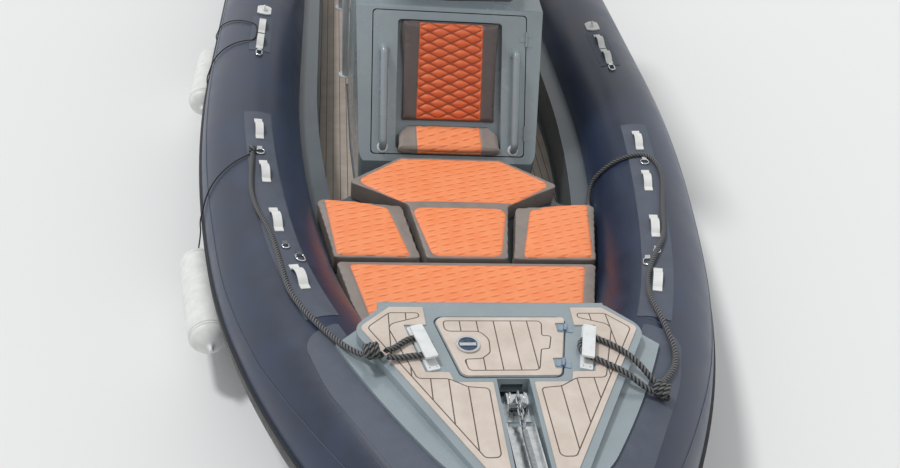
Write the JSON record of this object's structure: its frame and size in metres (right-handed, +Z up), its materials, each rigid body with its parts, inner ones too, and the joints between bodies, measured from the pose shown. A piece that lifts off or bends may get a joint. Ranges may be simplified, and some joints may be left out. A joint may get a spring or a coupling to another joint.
{
  "type": "rigid inflatable boat",
  "caption": "Rigid inflatable boat with raked console, bow lounge cushions, anchor hatch, canopy frame and tilting outboard engine.",
  "frame": {"origin": "on the waterline at the centreline, abreast the rear end of the bow lounge's console", "axes": "+Z up, -Y towards the bow, +X to port"},
  "size_m": [3.2585, 8.9639, 3.2413],
  "materials": {
    "hypalon": "matt coated fabric",
    "hypalon_patch": "ribbed wear patch",
    "rub_rubber": "moulded strake",
    "gelcoat_grey": "semi-gloss gelcoat",
    "gelcoat_light": "semi-gloss gelcoat",
    "synthetic_teak": "brushed synthetic planking with dark caulk",
    "stainless": "polished stainless steel",
    "galvanised": "satin steel",
    "white_strap": "white webbing and moulded fittings",
    "upholstery_orange": "quilted orange vinyl with grey borders",
    "upholstery_grey": "grey vinyl",
    "smoked_acrylic": "tinted acrylic",
    "dash_black": "satin black",
    "powder_white": "light powder coat",
    "canopy_shell": "gelcoat",
    "engine_paint": "dark metallic paint",
    "fender_white": "soft white vinyl",
    "black_rope": "three-strand rope"
  },
  "bodies": {
    "boat": {"tube_port": "hypalon", "tube_starboard": "hypalon", "hull": "gelcoat_light", "bow_eye": "stainless", "deck_liner": "gelcoat_light", "bow_deck": "gelcoat_grey", "bow_deck_teak": "synthetic_teak", "floor_teak": "synthetic_teak", "hatch_hinge_deck": "stainless", "bow_cleats": "stainless", "windlass": "stainless", "bow_roller": "stainless", "anchor": "galvanised", "anchor_chain": "galvanised", "collar_patches": "hypalon_patch", "rub_strake": "rub_rubber", "grab_handles": "white_strap", "tow_rings": "stainless", "lift_pads": "white_strap", "console": "gelcoat_grey", "door_hinge_console": "stainless", "windshield": "smoked_acrylic", "dash_panel": "dash_black", "throttle": "dash_black", "ttop_frame": "powder_white", "ttop_canopy": "canopy_shell", "helm_seat": "gelcoat_grey", "helm_cushions": "upholstery_orange", "stern_bench": "gelcoat_light", "stern_cushions": "upholstery_orange", "centre_cushion": "upholstery_orange", "side_cushions": "upholstery_orange", "forward_cushion": "upholstery_orange", "forward_bolster": "upholstery_grey", "swim_platforms": "gelcoat_light", "transom_bracket": "engine_paint", "fenders": "fender_white", "rope_port": "black_rope", "rope_starboard": "black_rope", "rope_loop_port": "black_rope", "rope_loop_starboard": "black_rope", "rope_knots": "black_rope"},
    "hatch_lid": {"anchor_hatch": "gelcoat_grey", "hatch_teak": "synthetic_teak", "hatch_latch": "stainless", "hatch_hinge_lid": "stainless"},
    "front_door": {"console_door": "gelcoat_grey", "door_backrest": "upholstery_orange", "door_seat": "upholstery_orange", "door_rails": "gelcoat_grey", "door_hinge_leaf": "stainless"},
    "helm_wheel": {"steering_wheel": "dash_black"},
    "tilt_unit": {"tilt_swivel": "engine_paint"},
    "engine": {"outboard_leg": "engine_paint", "outboard_cowl": "engine_paint"},
    "prop": {"propeller": "stainless"},
    "anchor_roller": {"roller_wheel": "dash_black"}
  },
  "joints": [
    {"name": "hatch_hinge", "type": "hinge", "parent": "boat", "child": "hatch_lid", "pos_m": [0.253, -3.05252, 0.97238], "axis": [0.2382, 0.9682, -0.0762], "range_deg": [0, 90]},
    {"name": "door_hinge", "type": "hinge", "parent": "boat", "child": "front_door", "pos_m": [0.481, -0.73847, 0.88742], "axis": [0, 0.6101, 0.7923], "range_deg": [0, 85]},
    {"name": "wheel_turn", "type": "hinge", "parent": "boat", "child": "helm_wheel", "pos_m": [-0.25, 0.15518, 1.22754], "axis": [0, 0.7322, 0.6811], "range_deg": [-540, 540]},
    {"name": "engine_tilt", "type": "hinge", "parent": "boat", "child": "tilt_unit", "pos_m": [0, 3.88, 0.405], "axis": [1, 0, 0], "range_deg": [0, 62]},
    {"name": "engine_steer", "type": "hinge", "parent": "tilt_unit", "child": "engine", "pos_m": [0, 4.01, 0.2], "axis": [0, 0, 1], "range_deg": [-30, 30]},
    {"name": "prop_spin", "type": "hinge", "parent": "engine", "child": "prop", "pos_m": [0, 4.42, -0.64], "axis": [0, 1, 0], "continuous": true},
    {"name": "roller_spin", "type": "hinge", "parent": "boat", "child": "anchor_roller", "pos_m": [0, -4.11134, 1.06776], "axis": [1, 0, 0], "continuous": true}
  ],
  "couplings": [
    {"joint": "wheel_turn", "follows": "engine_steer", "ratio": -18}
  ]
}
